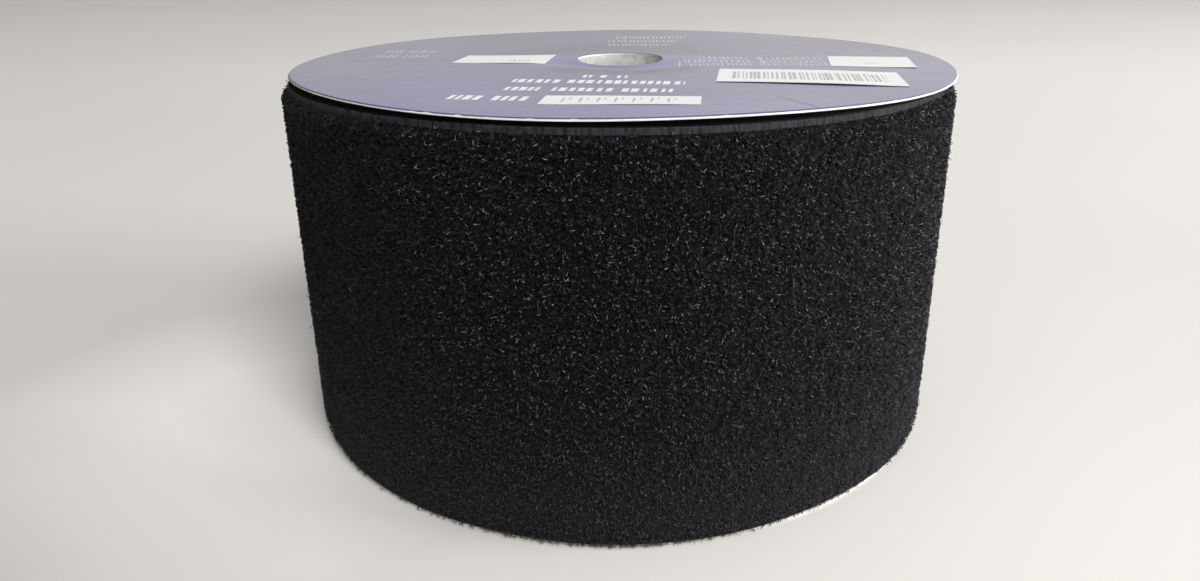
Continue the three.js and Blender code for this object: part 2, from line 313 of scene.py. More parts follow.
def print_material():
    """Blue violet print under a glossy film, with faint scuffs, waves in the film and a crease."""
    look = Look("laminated_print")
    tone = look.maths("MULTIPLY_ADD", look.noise(2600.0, 2.0), 0.25, look.noise(14.0))
    colour = look.ramp(tone, (0.45, (0.052, 0.052, 0.170)), (0.8, (0.075, 0.074, 0.215)))
    scuffs = look.drawn_noise((90, 700, 90), 5.0, 0.7)
    from_crease = look.vector("SUBTRACT", look.place, CREASE_PLACE)
    off = look.maths("ABSOLUTE", look.vector("DOT_PRODUCT", from_crease, CREASE_SQUARE))
    crease = look.span(off, 0.0, 0.5 * MM, 0.22, 0.0)
    fading = look.span(look.vector("LENGTH", from_crease), 8 * MM, 12 * MM, 1.0, 0.0)
    waves = look.times(look.noise(55.0, 2.0), 0.12)
    look.bump(look.maths("ADD", waves, look.times(crease, fading)), 1.0, 0.4 * MM)
    return look.complete(colour, look.spread(scuffs, 0.16, 0.24), IOR=1.5)


def ink_material(name, dark, pale):
    """Ink, which is thinner in places."""
    look = Look(name)
    colour = look.ramp(look.noise(900.0, 4.0, 0.7), (0.35, dark), (0.6, pale))
    return look.complete(colour, look.spread(look.noise(300.0), 0.25, 0.4))


def paper_material(name, dark, pale, rough, grain=900.0, depth=0.02 * MM):
    """Paper, with its fibres in colour, gloss and relief."""
    look = Look(name)
    fibre = look.noise(grain, 5.0, 0.65)
    look.bump(fibre, 0.4, depth)
    gloss = look.spread(look.noise(200.0), rough - 0.07, rough + 0.07)
    return look.complete(look.ramp(fibre, (0.3, dark), (0.65, pale)), gloss)


def core_material():
    """Spiral wound paper: a helical seam, the fibres of the ply, and painted light that makes it lighter
    towards the right.
    """
    look = Look("wound_core_paper")
    x, y, z = look.parts(look.vector("SUBTRACT", look.place, (*core_axis, 0)))
    turns = look.maths("DIVIDE", look.maths("ARCTAN2", y, x), TURN)
    helix = look.maths("ADD", turns, look.maths("DIVIDE", z, SEAM_RISE))
    seam = look.span(look.maths("FRACT", helix), 0.0, 0.03, 0.0, 1.0)
    fibre = look.noise(500.0, 5.0, 0.65)
    # Painted light: the paper is lighter towards the right, where the inside of the bore lies in shade.
    painted_fill_light = look.span(x, -BORE, BORE, 0.62, 1.5)
    tone = look.times(seam, fibre, painted_fill_light)
    look.bump(tone, 0.5, 0.12 * MM)
    colour = look.ramp(tone, (0.1, (0.30, 0.30, 0.285)), (0.75, (0.74, 0.74, 0.73)))
    return look.complete(colour, look.spread(fibre, 0.8, 0.95))


def film_material():
    """Clear tape, with fine draw lines along it."""
    look = Look("clear_tape_film")
    lines = look.drawn_noise((40, 40, 1500), 3.0)
    look.bump(lines, 0.2, 0.03 * MM)
    colour = look.ramp(lines, (0.3, (0.78, 0.77, 0.68)), (0.7, (0.86, 0.86, 0.80)))
    return look.complete(colour, look.spread(lines, 0.08, 0.16), Alpha=0.35)


def glue_material():
    look = Look("set_glue")
    cloud = look.noise(400.0)
    look.bump(look.noise(700.0), 0.5, 0.1 * MM)
    colour = look.ramp(cloud, (0.3, (0.58, 0.50, 0.28)), (0.7, (0.74, 0.68, 0.46)))
    return look.complete(colour, look.spread(cloud, 0.3, 0.5))


LOOPS = loops_material()
BED = bed_material()
WEAVE = weave_material("woven_ground", (0.003, 0.0034, 0.0042), (0.030, 0.036, 0.045))
# The edges of the turns are a darker copy of the woven ground: partly their own dark edges, partly painted
# shade under the disc.
TURN_EDGES = weave_material("edges_of_the_turns", (0.002, 0.002, 0.002), (0.009, 0.009, 0.010))
BOARD = board_material()
PRINT = print_material()
WHITE_INK = ink_material("white_print_ink", (0.62, 0.62, 0.66), (0.80, 0.80, 0.82))
THIN_INK = ink_material("thin_print_ink", (0.26, 0.26, 0.30), (0.46, 0.46, 0.50))
GREY_INK = ink_material("grey_label_ink", (0.20, 0.20, 0.21), (0.38, 0.38, 0.39))
LABEL = paper_material("white_label_paper", (0.68, 0.68, 0.66), (0.79, 0.79, 0.77), 0.5)
CREPE = paper_material("creped_start_tape", (0.56, 0.46, 0.26), (0.72, 0.62, 0.38), 0.7, 600.0, 0.1 * MM)
CORE = core_material()
FILM = film_material()
GLUE = glue_material()


def placed(name, data):
    """A new object in the scene."""
    made = bpy.data.objects.new(name, data)
    scene.collection.objects.link(made)
    return made


def mesh_piece(name, points, faces, materials, maps=None, smooth=True, which=None):
    """A mesh object from points, a list of face arrays, and UV maps by name with a row for each corner.

    which gives each face's material, where there are two.
    """
    mesh = bpy.data.meshes.new(name)
    corners = np.concatenate([np.asarray(f).ravel() for f in faces]).astype(np.int32)
    sizes = np.concatenate([np.full(len(f), np.shape(f)[1]) for f in faces])
    starts = (np.cumsum(sizes) - sizes).astype(np.int32)
    mesh.vertices.add(len(points))
    mesh.vertices.foreach_set("co", np.asarray(points, np.float32).ravel())
    mesh.loops.add(len(corners))
    mesh.loops.foreach_set("vertex_index", corners)
    mesh.polygons.add(len(sizes))
    mesh.polygons.foreach_set("loop_start", starts)
    mesh.polygons.foreach_set("use_smooth", np.full(len(sizes), smooth))
    for made in materials:
        mesh.materials.append(made)
    if which is not None:
        mesh.polygons.foreach_set("material_index", np.asarray(which, np.int32))
    for key, values in (maps or {}).items():
        layer = mesh.uv_layers.new(name=key)
        layer.uv.foreach_set("vector", np.asarray(values, np.float32).ravel())
    mesh.update(calc_edges=True)
    mesh.validate()
    return placed(name, mesh)


def value_noise(x, y, seed):
    """Smooth noise from 0 to 1 with a cell of one unit."""
    xi, yi = np.floor(x).astype(np.int64), np.floor(y).astype(np.int64)
    fx, fy = x - xi, y - yi
    fx, fy = fx * fx * (3 - 2 * fx), fy * fy * (3 - 2 * fy)

    def corner(i, j):
        mixed = (i * 374761393 + j * 668265263 + seed * 974634777) & 0xFFFFFFFF
        mixed = ((mixed ^ (mixed >> 13)) * 1274126177) & 0xFFFFFFFF
        return ((mixed ^ (mixed >> 16)) & 0xFFFF) / 65535.0

    low = corner(xi, yi) * (1 - fx) + corner(xi + 1, yi) * fx
    high = corner(xi, yi + 1) * (1 - fx) + corner(xi + 1, yi + 1) * fx
    return low * (1 - fy) + high * fy


def ease(x, low, high):
    """0 up to low and 1 from high on, with a smooth rise between them."""
    t = np.clip((x - low) / (high - low), 0, 1)
    return t * t * (3 - 2 * t)


def back_at(arc):
    """Turns back from the end of the tape, at an arc in metres."""
    radius = END_RADIUS + GROUND
    return (radius - np.sqrt(radius**2 - PITCH * np.asarray(arc) / pi)) / PITCH


def arc_at(back):
    return TURN * ((END_RADIUS + GROUND) * back - PITCH * back**2 / 2)


def hump(angle, degrees, width):
    """1 at an angle of so many degrees, and 0 away from it."""
    off = (np.asarray(angle) - radians(degrees) + pi) % TURN - pi
    return np.exp(-((off / radians(width)) ** 2))


def edge_bend(angle, height):
    """How far the tape stands out near its lower edge: most at the front, and inwards at the right."""
    bend = 0.67 + 0.35 * hump(angle, 264, 9) - 1.55 * hump(angle, 303, 17)
    return bend * MM * (1 - ease(height - TAPE_BOTTOM, 0.0, 3.4 * MM))


def round_at(x, y, radius, angle, height):
    """Points at a radius, an angle and a height round the upright axis at x and y."""
    return np.stack([x + radius * np.cos(angle), y + radius * np.sin(angle), height], -1)


def on_tape(back, out, height):
    """Points of the wound tape, from arrays of one shape."""
    angle = END_ANGLE + TURN * back
    radius = END_RADIUS - PITCH * back + out
    radius = radius + edge_bend(angle, height) * ease(radius, 70 * MM, 90 * MM)
    lean = LEAN_SHIFT - LEAN * (height - (TAPE_BOTTOM + TAPE_TOP) / 2)
    return round_at(pack_axis.x + lean, pack_axis.y, radius, angle, height)


def quads_round(index):
    """The faces between each ring of points and the next, from their numbers (..., rings, sides)."""
    beside = np.roll(index, -1, -1)
    corners = (index[..., :-1, :], index[..., 1:, :], beside[..., 1:, :], beside[..., :-1, :])
    return np.stack(corners, -1).reshape(-1, 4)


def tube(points):
    """Points and faces of a closed strip through rings of points (rings, sides, 3), with flat ends."""
    rings, sides = points.shape[:2]
    index = np.arange(rings * sides).reshape(rings, sides)
    return points.reshape(-1, 3), [quads_round(index), index[:1], index[-1:, ::-1]]


def strip_piece(name, back, sections, made_of):
    """A closed strip of tape. sections is an array (rings, sides, 2) of [out, height]."""
    points, faces = tube(on_tape(back[:, None], sections[..., 0], sections[..., 1]))
    arcs = np.repeat(arc_at(back), sections.shape[1]) / MM
    heights = sections[..., 1].ravel() / MM
    around = np.concatenate([[0], np.cumsum(np.abs(np.diff(sections[0], axis=0)).sum(1))])
    around = np.tile(around / around[-1], len(back))
    share = np.repeat((back - back[0]) / (back[-1] - back[0]), sections.shape[1])
    corners = np.concatenate([f.ravel() for f in faces])
    place = np.stack([arcs, heights], -1)[corners]
    baked = np.stack([share * 0.98 + 0.01, around * 0.98 + 0.01], -1)[corners]
    return mesh_piece(name, points, faces, [made_of], {"OFBake": baked, "tape_mm": place})


# The winding. Every turn is there, from the core outwards, with its loops pressed between the turns.
# The outermost turn has more detail, and starts where the free end has bent over the crossing.
PRESSED = 0.38 * MM
CROSSING = 6 * MM
STEPS_PER_TURN = 72
hinge_arc = arc_at(hinge_back)
seam_arc = hinge_arc + CROSSING
detail_back = 1 + back_at(hinge_arc + 2 * CROSSING)
detail_arc = arc_at(detail_back)
first_back = (END_RADIUS - PACK_BORE) / PITCH


def winding():
    steps = int((first_back - detail_back) * STEPS_PER_TURN)
    back = np.linspace(detail_back, first_back, steps)
    edge, soft = SELVEDGE, 0.8 * MM
    outline = [
        (0, TAPE_BOTTOM),
        (0, TAPE_TOP),
        (GROUND, TAPE_TOP),
        (GROUND, TAPE_TOP - edge),
        (GROUND + PRESSED, TAPE_TOP - edge - soft),
        (GROUND + PRESSED, TAPE_BOTTOM + edge + soft),
        (GROUND, TAPE_BOTTOM + edge),
        (GROUND, TAPE_BOTTOM),
    ]
    sections = np.repeat(np.array(outline)[None], steps, 0)
    drift = 0.12 * MM * (value_noise(back * 1.7, 0, 3) - 0.5)
    sections[..., 1] += drift[:, None]
    return strip_piece("tape_winding", back, sections, TURN_EDGES)


RIB = 0.72 * MM
RIB_STEPS = 4
EDGE_POINTS = np.array([0, 0.12, 0.35, 0.75, 1.2, 1.7, 2.2, 2.7, 3.3]) * MM


def ribbed_ground(name, first_arc, last_arc):
    """The ground of the tape: its selvedges are ribbed across, and their edge is scalloped by the weft."""
    steps = int((last_arc - first_arc) / RIB * RIB_STEPS)
    arc = np.linspace(first_arc, last_arc, steps)
    inner = [TAPE_BOTTOM + 0.1 * MM, TAPE_TOP - 0.1 * MM]
    heights = np.concatenate([inner, TAPE_TOP - EDGE_POINTS, TAPE_BOTTOM + EDGE_POINTS[::-1]])
    outs = np.full(len(heights), GROUND)
    outs[:2] = 0
    outs[[2, -1]] -= 0.22 * MM
    sections = np.repeat(np.stack([outs, heights], -1)[None], steps, 0)
    rib = 0.5 + 0.5 * np.cos(TURN * arc / RIB)
    shallow = 1 - ease(np.minimum(heights - TAPE_BOTTOM, TAPE_TOP - heights), 2.5 * MM, 3.3 * MM)
    outer = np.arange(len(heights)) >= 2
    sections[..., 0] -= rib[:, None] * shallow * outer * 0.055 * MM
    waver = value_noise(arc[:, None] / (0.5 * MM), heights / (0.5 * MM), 5) - 0.5
    sections[..., 0] += waver * outer * 0.03 * MM
    sections[..., 0] -= (1 - ease(TAPE_TOP - heights, -1 * MM, SELVEDGE)) * 0.25 * MM
    sections[..., 1] -= 0.3 * MM * (heights < TAPE_BOTTOM + 1 * MM)
    lip = np.zeros(len(heights))
    lip[[1, 2]], lip[[0, -1]] = 1, -1
    edge_noise = value_noise(arc / (14 * MM), 0, 6) - 0.5
    sections[..., 1] += edge_noise[:, None] * 0.18 * MM - rib[:, None] * lip * 0.05 * MM
    return strip_piece(name, back_at(arc), sections, WEAVE)


# The bare selvedges over and under the pile
BARE_ABOVE = 2.0 * MM
BARE_BELOW = 1.5 * MM
BED_STEP = 0.42 * MM


def pile_height(arc):
    """The share of its free height that the pile has at an arc: pressed under the end, and up past it."""
    end = arc_at(1.0)
    return 1 - ease(arc, end - END_GAP - PILE_RISE_LENGTH, end - END_GAP)


def pile_edge(height):
    """0 on the selvedges and 1 inside them. The loops hang over the upper selvedge a little."""
    inside = np.minimum(height - TAPE_BOTTOM - BARE_BELOW, TAPE_TOP - BARE_ABOVE - height)
    return ease(inside, -0.4 * MM, 1.5 * MM)


def bed_height(arc, height):
    x, y = arc / MM, height / MM
    lumps = value_noise(x / 1.9, y / 1.9, 11)
    clumps = value_noise(x / 0.9, y / 0.9, 12)
    fine = value_noise(x / 0.45, y / 0.45, 13)
    free = (0.55 + 0.35 * lumps + 0.55 * clumps + 0.35 * fine) * MM
    flat = (0.10 + 0.05 * clumps + 0.04 * fine) * MM
    tall = pile_height(arc)
    return (free * tall + flat * (1 - tall)) * pile_edge(height)


def pile_bed(name, first_arc, last_arc):
    """The felted bed of the loops, as a closed sheet with lumps and hollows."""
    steps = int(round((last_arc - first_arc) / BED_STEP)) + 1
    arc = np.linspace(first_arc, last_arc, steps)
    low, high = TAPE_BOTTOM + BARE_BELOW - 0.5 * MM, TAPE_TOP - BARE_ABOVE + 0.5 * MM
    rows = int(round((high - low) / BED_STEP)) + 1
    heights = np.linspace(high, low, rows)
    grid_arc, grid_height = np.meshgrid(arc, heights, indexing="ij")
    outs = GROUND + bed_height(grid_arc, grid_height)
    back_side = np.array([[GROUND - 0.05 * MM, low], [GROUND - 0.05 * MM, high]])
    outer = np.stack([outs, grid_height], -1)
    sections = np.concatenate([np.repeat(back_side[None], steps, 0), outer], 1)
    return strip_piece(name, back_at(arc), sections, BED)


LOOP_POINTS = 6
STRAY_POINTS = 12
FIBRE_SIDES = 3
BAKE_CELL = 1 / 300


def fibre_piece(name, paths, across, radius, shares=None):
    """Closed three sided tubes along paths (fibres, points, 3). across is square to each fibre's plane.

    shares gives each fibre's place on the map of the bake, or it is anywhere.
    """
    count, along = paths.shape[:2]
    way = np.gradient(paths, axis=1)
    way /= np.linalg.norm(way, axis=2, keepdims=True) + 1e-12
    side = across[:, None, :] - (across[:, None, :] * way).sum(2, keepdims=True) * way
    side /= np.linalg.norm(side, axis=2, keepdims=True) + 1e-12
    up = np.cross(way, side)
    turned = (np.arange(FIBRE_SIDES) * TURN / FIBRE_SIDES)[:, None]
    ring = side[:, :, None] * np.cos(turned) + up[:, :, None] * np.sin(turned)
    thick = radius[:, None] * (1 - 0.35 * np.abs(np.linspace(-1, 1, along)) ** 6)
    points = paths[:, :, None] + ring * thick[..., None, None]
    index = np.arange(count * along * FIBRE_SIDES).reshape(count, along, FIBRE_SIDES)
    quads = quads_round(index)[:, [0, 3, 2, 1]]
    ends = np.concatenate([index[:, 0, ::-1], index[:, -1]])
    shares = rng.random((count, 2)) if shares is None else np.clip(shares, 0, 1)
    corner = shares[:, None, None, None] * (1 - BAKE_CELL * (along + 1)) + BAKE_CELL / 2
    u = np.array([0, 0, 1, 1]) + np.arange(along - 1)[:, None, None]
    v = np.array([0, 1, 1, 0]) + np.arange(FIBRE_SIDES)[:, None]
    places = corner + np.stack(np.broadcast_arrays(u, v), -1) * BAKE_CELL
    tips = corner[:, 0, 0] + np.array([[0, 0], [1, 0], [0, 1]]) * BAKE_CELL * 0.8
    baked = np.concatenate([places.reshape(-1, 2), np.tile(tips.reshape(-1, 2), (2, 1))])
    return mesh_piece(name, points.reshape(-1, 3), [quads, ends], [LOOPS], {"OFBake": baked})


def frame_at(arc):
    """The unit vectors along the tape and out of it at each arc."""
    angle = END_ANGLE + TURN * back_at(arc)
    along = np.stack([-np.sin(angle), np.cos(angle), np.zeros_like(angle)], -1)
    return along, round_at(0, 0, 1, angle, np.zeros_like(angle))


def loop_paths(arc, height, lean, span, tall, bottom):
    """Loops that stand on the bed at each (arc, height), as arches with random curls."""
    count = len(arc)
    t = np.linspace(0, 1, LOOP_POINTS)
    rise = 1 - np.abs(2 * t - 1) ** 2.4
    x = np.cos(lean)[:, None] * span[:, None] * (t - 0.5)
    y = np.sin(lean)[:, None] * span[:, None] * (t - 0.5)
    sway = rng.normal(0, 0.22 * MM, (count, 1)) * rise
    sway_up = rng.normal(0, 0.2 * MM, (count, 1)) * rise
    jitter = rng.normal(0, 0.1 * MM, (3, count, LOOP_POINTS))
    jitter[:, :, [0, -1]] = 0
    out = GROUND + bottom[:, None] + (tall - bottom)[:, None] * rise + jitter[2] * 0.7
    arcs = arc[:, None] + x + sway + jitter[0]
    heights = height[:, None] + y + sway_up + jitter[1]
    paths = on_tape(back_at(arcs), out, heights)
    across = -np.sin(lean)[:, None] * frame_at(arc)[0] + np.cos(lean)[:, None] * np.array([0, 0, 1.0])
    return paths, across


LOOPS_PER_MM2 = 1.4
# Near the edges of the pile, this share of the loops leans over the edge, by half of this reach at most.
LEANING = 0.3
LEAN_REACH = 2.4 * MM
# The loops have painted shade round this angle, on the left side of the roll, over so many degrees.
PAINTED_SHADE_SIDE = (208, 32)


def loops_piece(name, first_arc, last_arc):
    """The loops of one stretch of the tape."""
    low, high = TAPE_BOTTOM + BARE_BELOW + 0.1 * MM, TAPE_TOP - BARE_ABOVE - 0.1 * MM
    count = int((last_arc - first_arc) * (high - low) / MM**2 * LOOPS_PER_MM2)
    arc = rng.uniform(first_arc, last_arc, count)
    height = rng.uniform(low, high, count)
    leaning = (rng.random(count) < LEANING) * (height - (low + high) / 2) / (high - low) * LEAN_REACH
    height = height + leaning * (np.abs(leaning) > 0.45 * LEAN_REACH)
    free = pile_height(arc)
    swirl = value_noise(arc / (2.6 * MM), height / (2.6 * MM), 21) * TURN * 1.5
    lean = swirl + rng.normal(0, 0.7, count)
    span = rng.uniform(0.4, 1.45, count) * MM
    bed = bed_height(arc, height)
    clump = value_noise(arc / (1.6 * MM), height / (1.6 * MM), 22)
    tall = (1.15 + 0.8 * rng.random(count) ** 0.7 + 0.4 * clump) * MM
    pressed = bed + rng.uniform(0.05, 0.14, count) * MM
    tall = np.minimum(tall, FREE_PILE + 0.3 * MM) * free + pressed * (1 - free)
    tall = tall * (0.55 + 0.45 * pile_edge(height))
    bottom = np.minimum(bed * 0.6, 0.5 * MM)
    paths, across = loop_paths(arc, height, lean, span, tall, bottom)
    radius = rng.uniform(0.075, 0.12, count) * MM
    angle = END_ANGLE + TURN * back_at(arc)
    # Painted shade: how far each loop lies in the shaded left side, with a random part.
    painted_side_shade = 0.3 * rng.random(count) + 0.65 * np.minimum(1, 1.3 * hump(angle, *PAINTED_SHADE_SIDE))
    up = (height - TAPE_BOTTOM) / (TAPE_TOP - TAPE_BOTTOM) + rng.normal(0, 0.05, count)
    return fibre_piece(name, paths, across, radius, np.stack([painted_side_shade, up], -1))


def fringe(name, count):
    """Short fibres that hang from the lower selvedge at the front."""
    # These dark fibres also stand in for shade: they put painted shade on the strip under the front edge of
    # the tape.
    t = np.linspace(0, 1, LOOP_POINTS)
    front = (radians(266) - END_ANGLE) / TURN
    arc = arc_at(front + np.clip(rng.normal(0, 0.05, count), -0.2, 0.3))
    reach = rng.uniform(0.3, 1.1, count)[:, None] * MM
    lean = rng.normal(0, 0.8, count)[:, None] * MM
    arcs = arc[:, None] + lean * t + 0.15 * MM * np.sin(TURN * t + lean / MM)
    heights = TAPE_BOTTOM + 1.2 * MM - (1.0 * MM + 0.62 * reach) * t
    out = GROUND + 0.1 * MM + reach * np.sin(pi * 0.6 * t)
    paths = on_tape(back_at(arcs), out, heights)
    radius = rng.uniform(0.06, 0.1, count) * MM
    shares = np.stack([0.9 * rng.random(count), np.full(count, 0.2)], -1)
    return fibre_piece(name, paths, frame_at(arc)[1], radius, shares)


def stray_fibres(name, count):
    """A few fibres that were pulled out of the pile and curl away from it."""
    t = np.linspace(0, 1, STRAY_POINTS)
    arc = rng.uniform(seam_arc + 5 * MM, detail_arc - 5 * MM, count)
    height = rng.uniform(TAPE_BOTTOM + 5 * MM, TAPE_TOP - 5 * MM, count)
    ranges = ((0.9, 1.9), (-5, 5), (-4, 4), (0.6, 1.4), (0, TURN))
    reach, length, climb, wind, phase = (rng.uniform(*r, count)[:, None] for r in ranges)
    arcs = arc[:, None] + length * MM * t + 0.6 * MM * np.sin(TURN * wind * t + phase)
    heights = height[:, None] + climb * MM * t + 0.6 * MM * np.cos(TURN * wind * t + phase)
    out = GROUND + 0.9 * MM + (0.5 + reach) * MM * np.sin(pi * np.minimum(t * 1.15, 1.0))
    paths = on_tape(back_at(arcs), out, heights)
    radius = rng.uniform(0.05, 0.07, count) * MM
    return fibre_piece(name, paths, frame_at(arc)[1], radius)


def dress(piece, slot, *nodes, body="roll"):
    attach(piece, body)
    if nodes:
        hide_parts(*nodes)


dress(winding(), "loop_tape", "tape_inner_turns")
dress(ribbed_ground("tape_outer_ground", seam_arc, detail_arc - 0.3 * MM), "loop_tape", "tape_outer_turns")
# The bed and the loops are made in stretches: how many, and how far the last one stops short.
STRETCHES = ((pile_bed, "pile_bed", 4, 0.5 * MM), (loops_piece, "pile_loops", 14, 1 * MM))
for make, kind, pieces, short in STRETCHES:
    cuts = np.linspace(seam_arc, detail_arc - short, pieces + 1)
    for number, (first, last) in enumerate(zip(cuts[:-1], cuts[1:]), 1):
        dress(make(f"{kind}_{number}", first, last), "loop_tape", "tape_outer_turns")
dress(stray_fibres("pile_stray_fibres", count=180), "loop_tape", "tape_outer_turns")
dress(fringe("selvedge_fringe", count=300), "loop_tape", "tape_outer_turns")

# The free end of the tape
for piece in (
    ribbed_ground("free_end_ground", 0.0, seam_arc - 0.02 * MM),
    pile_bed("free_end_bed", 0.15 * MM, seam_arc),
    loops_piece("free_end_loops", 0.4 * MM, seam_arc),
):
    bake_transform(piece)
    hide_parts("tape_free_end")


# The discs
disc_low, disc_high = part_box("upper_board")
DISC_RADIUS = (disc_high.x - disc_low.x) / 2
RIM_BOTTOM = disc_low.z
BOARD_TOP = RIM_BOTTOM + 0.6 * MM
FACING_THICK = 0.12 * MM
LAND_RISE = 0.6 * MM
LAND_RADIUS = 15 * MM
LAND_SLOPE = 30 * MM
EDGE_ROLL = 0.5 * MM
EDGE_DROP = 0.25 * MM
DISC_STEPS = 512
CORE_STEPS = 240


def land(radius):
    """How much higher the disc stands round its hole."""
    return LAND_RISE * (1 - ease(radius, LAND_RADIUS, LAND_RADIUS + LAND_SLOPE))


# The waves in the rim of the upper disc: times round, height in millimetres and phase in radians
RIM_WAVES = ((1, 0.09, -2.36), (2, 0.06, -1.66), (3, 0.07, -1.83), (4, 0.14, -1.04), (5, 0.17, -0.06))


def wave(radius, angle):
    """How far the disc is off its level: its rim waves, and the front of its hole is pressed in."""
    share = ease(radius / DISC_RADIUS, 0.45, 1.0)
    rim = sum(high * np.cos(times * angle + start) for times, high, start in RIM_WAVES)
    front = ease(-np.sin(angle), -0.3, 0.9)
    pressed = 0.52 * (1 - ease(radius, 17.5 * MM, 32 * MM)) + 0.6 * land(radius) / LAND_RISE
    lip = 0.45 * (1 - ease(radius, BORE - 1.5 * MM, BORE + 4.5 * MM)) / 0.85
    return (rim * share - front * (pressed - lip)) * MM


def rim_thinned(radius, angle):
    """The die pressed the rim thinner at the front left."""
    place = ease(angle, radians(185), radians(200))
    place = place * (1 - ease(angle, radians(236), radians(262)))
    return 0.1 * MM * place * ease(radius, DISC_RADIUS - 5 * MM, DISC_RADIUS)


def round_piece(name, outline, made_of, warp, steps=DISC_STEPS):
    """A closed ring from an outline of (radius, height) points, moved by warp(radius, height, angle)."""
    radius, height = np.repeat(np.array(outline).T[:, None], steps, 1)
    angle = np.repeat(np.arange(steps)[:, None] * TURN / steps, len(outline), 1)
    radius, height = warp(radius, height, angle)
    points = round_at(core_axis.x, core_axis.y, radius, angle, height)
    index = np.arange(angle.size).reshape(angle.shape)
    quads = quads_round(np.concatenate([index, index[:1]]))
    piece = mesh_piece(name, points.reshape(-1, 3), [quads], [made_of])
    piece.data.set_sharp_from_angle(angle=radians(40))
    return piece


# The radii of the discs' points: from, to and how many. They are closer together round the hole.
STATION_SPANS = (
    (BORE, BORE + 0.6 * MM, 4),
    (BORE + 1.2 * MM, BORE + 6 * MM, 8),
    (BORE + 7.5 * MM, LAND_RADIUS + LAND_SLOPE, 16),
    (48 * MM, 90 * MM, 10),
)
STATIONS = np.concatenate([np.linspace(*span) for span in STATION_SPANS])


def rim_wear(angle):
    """How far the rim is worn back, in metres. It is worn most at the front left."""
    fine = value_noise(angle * 110, 0, 41)
    place = np.exp(-(((angle - radians(245)) / 0.16) ** 2))
    nick = ease(fine, 0.7, 0.9)
    return (0.08 + 0.5 * place * nick + 0.2 * ease(fine, 0.9, 0.99)) * MM


def rough_cut(rim, radius, angle, height, seed):
    """How far the cut edge of a board is frayed."""
    rough = value_noise(angle * 300, height / (0.2 * MM), seed) - 0.5
    return rough * ease(radius, rim - 0.3 * MM, rim - 0.05 * MM) * 0.06 * MM


def upper_board():
    rim = DISC_RADIUS
    under = [(r, RIM_BOTTOM + land(r)) for r in STATIONS]
    edge = [
        (rim - 0.2 * MM, RIM_BOTTOM),
        (rim - 0.04 * MM, RIM_BOTTOM + 0.08 * MM),
        (rim, RIM_BOTTOM + 0.2 * MM),
        (rim - 0.03 * MM, BOARD_TOP - EDGE_DROP - 0.06 * MM),
        (rim - 0.10 * MM, BOARD_TOP - EDGE_DROP + 0.02 * MM),
        (rim - EDGE_ROLL, BOARD_TOP - 0.04 * MM),
        (rim - 0.9 * MM, BOARD_TOP),
    ]
    over = [(r, BOARD_TOP + land(r)) for r in STATIONS]

    def warp(radius, height, angle):
        lower_side = height < RIM_BOTTOM + 0.25 * MM
        lift = wave(radius, angle) + rim_thinned(radius, angle) * lower_side
        return radius + rough_cut(rim, radius, angle, height, 31), height + lift

    return round_piece("upper_disc_board", under + edge + over[::-1], BOARD, warp)


def facing_height(radius, angle):
    """The level of the face of the film."""
    drop = EDGE_DROP * ease(radius, DISC_RADIUS - EDGE_ROLL, DISC_RADIUS)
    return BOARD_TOP + FACING_THICK + land(radius) - drop + wave(radius, angle)


def upper_facing():
    film = FACING_THICK - 0.01 * MM
    rim = DISC_RADIUS
    radii = [*STATIONS, rim - 1.2 * MM, rim - 0.9 * MM, rim - EDGE_ROLL, rim - 0.32 * MM, rim - 0.16 * MM]

    def warp(radius, height, angle):
        worn = radius - rim_wear(angle) * ease(radius, rim - 0.6 * MM, rim - 0.16 * MM)
        return worn, facing_height(worn, angle) - height

    under = [(r, film) for r in radii]
    over = [(r, 0.0) for r in radii]
    return round_piece("upper_disc_facing", under + over[::-1], PRINT, warp)


def lower_board():
    low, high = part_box("lower_board")
    rim = (high.x - low.x) / 2
    radii = [BORE, 20 * MM, 50 * MM, 80 * MM, 88 * MM, 91 * MM]
    under = [(r, 0.0) for r in radii] + [(rim - EDGE_ROLL, 0.0)]
    edge = [
        (rim - 0.15 * MM, 0.08 * MM),
        (rim, EDGE_DROP + 0.05 * MM),
        (rim, high.z - 0.15 * MM),
        (rim - 0.15 * MM, high.z),
    ]
    over = [(r, high.z) for r in radii]

    def warp(radius, height, angle):
        bent = (1.6 * hump(angle, 262, 24) - 0.1) * MM * ease(radius, 60 * MM, rim)
        return radius + bent + rough_cut(rim, radius, angle, height, 32), height

    return round_piece("lower_disc_board", under + edge + over[::-1], BOARD, warp)


dress(upper_board(), "board", "upper_board")
dress(upper_facing(), "printed_facing", "upper_facing")
dress(lower_board(), "board", "lower_board")


def core_tube():
    low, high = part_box("core_tube")
    bottom, top = low.z, high.z + 0.25 * MM
    wall = high.x - core_axis.x
    inner = [(BORE + 0.15 * MM, top), (BORE, top - 0.15 * MM)]
    inner += [(BORE, z) for z in np.linspace(top - 2 * MM, bottom + 2 * MM, 40)]
    inner += [(BORE, bottom + 0.15 * MM), (BORE + 0.15 * MM, bottom)]
    outer = [(wall - 0.2 * MM, bottom), (wall, bottom + 0.2 * MM)]
    outer += [(wall, top - 0.2 * MM), (wall - 0.2 * MM, top)]

    def warp(radius, height, angle):
        helix = (angle / TURN + height / SEAM_RISE) % 1.0
        seam = np.exp(-((np.minimum(helix, 1 - helix) / 0.012) ** 2))
        inside = radius < BORE + 0.1 * MM
        sunk = wave(radius, angle) * (height > top - 2.5 * MM)
        return radius + seam * inside * 0.12 * MM, height + sunk

    return round_piece("wound_core_tube", outer + inner, CORE, warp, CORE_STEPS)


dress(core_tube(), "core_paper", "core_tube")


